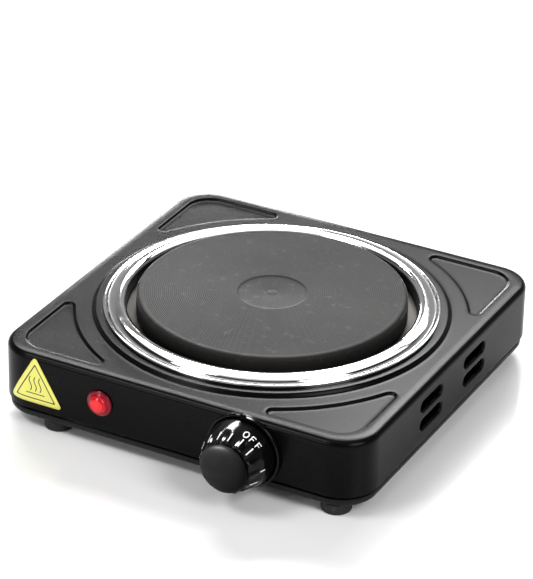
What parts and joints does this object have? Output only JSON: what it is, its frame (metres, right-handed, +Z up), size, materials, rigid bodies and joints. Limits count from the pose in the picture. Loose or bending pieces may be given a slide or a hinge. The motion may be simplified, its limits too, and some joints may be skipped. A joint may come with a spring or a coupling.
{
  "type": "hot plate burner",
  "caption": "Countertop electric hot plate: square black steel case, round cast-iron plate in a chrome ring, dial thermostat knob and a red lamp on the front.",
  "frame": {"origin": "centre of the footprint, knob and gland included, on the surface that the feet stand on", "axes": "+Z up; -Y towards the user, out of the knob; +X to the user's right"},
  "size_m": [0.23, 0.2618, 0.0585],
  "materials": {
    "case_enamel": "satin black enamel",
    "tray_enamel": "satin black enamel",
    "foot_rubber": "matt",
    "zinc_steel": "zinc plated",
    "ring_chrome": "polished",
    "plate_iron": "matt black coated, turned",
    "element_steel": "heat tinted",
    "ceramic": "unglazed",
    "contact_brass": "bright",
    "bezel_black": "gloss",
    "dial_black": "gloss with white marks",
    "cap_grey": "satin",
    "lens_red": "clear red",
    "bulb_glass": "clear",
    "gland_black": "moulded",
    "strip_nylon": "moulded",
    "label_yellow": "laminated",
    "lead_sleeve": "braided glass sleeve"
  },
  "bodies": {
    "case": {"top_housing": "case_enamel", "base_cover": "tray_enamel", "trim_ring": "ring_chrome", "cast_iron_plate": "plate_iron", "heating_element": "element_steel", "element_cover": "zinc_steel", "terminal_ceramic": "ceramic", "heat_shield": "zinc_steel", "clamp_bridge": "zinc_steel", "centre_stud": "zinc_steel", "stud_washer": "zinc_steel", "stud_nut": "zinc_steel", "thermostat_bracket": "zinc_steel", "thermostat_body": "ceramic", "fixed_contact": "contact_brass", "contact_spacer_lower": "ceramic", "contact_spacer_upper": "ceramic", "bimetal_strip": "zinc_steel", "thermostat_screw_left": "zinc_steel", "thermostat_screw_right": "zinc_steel", "knob_bezel": "bezel_black", "lamp_lens": "lens_red", "neon_bulb": "bulb_glass", "lamp_clip": "zinc_steel", "cord_gland": "gland_black", "gland_nut": "gland_black", "terminal_strip": "strip_nylon", "thermal_cutout": "zinc_steel", "heat_warning_label": "label_yellow", "lead_live": "lead_sleeve", "lead_thermostat": "lead_sleeve", "lead_element": "lead_sleeve", "lead_neutral": "lead_sleeve", "foot_front_left": "foot_rubber", "foot_screw_front_left": "zinc_steel", "base_screw_front_left": "zinc_steel", "foot_front_right": "foot_rubber", "foot_screw_front_right": "zinc_steel", "base_screw_front_right": "zinc_steel", "foot_rear_left": "foot_rubber", "foot_screw_rear_left": "zinc_steel", "base_screw_rear_left": "zinc_steel", "foot_rear_right": "foot_rubber", "foot_screw_rear_right": "zinc_steel", "base_screw_rear_right": "zinc_steel"},
    "knob": {"knob_dial": "dial_black", "knob_cap": "cap_grey", "shaft_clip": "zinc_steel", "thermostat_shaft": "contact_brass"},
    "contact": {"contact_blade": "contact_brass"}
  },
  "joints": [
    {"name": "knob_turn", "type": "hinge", "parent": "case", "child": "knob", "pos_m": [0.045, -0.10255, 0.028], "axis": [0, 1, 0], "range_deg": [-36, 234]},
    {"name": "contact_lift", "type": "hinge", "parent": "case", "child": "contact", "pos_m": [0.045, -0.09555, 0.0387], "axis": [1, 0, 0], "range_deg": [-0.5, 3]}
  ],
  "couplings": [
    {"joint": "contact_lift", "follows": "knob_turn", "ratio": 0.012}
  ]
}
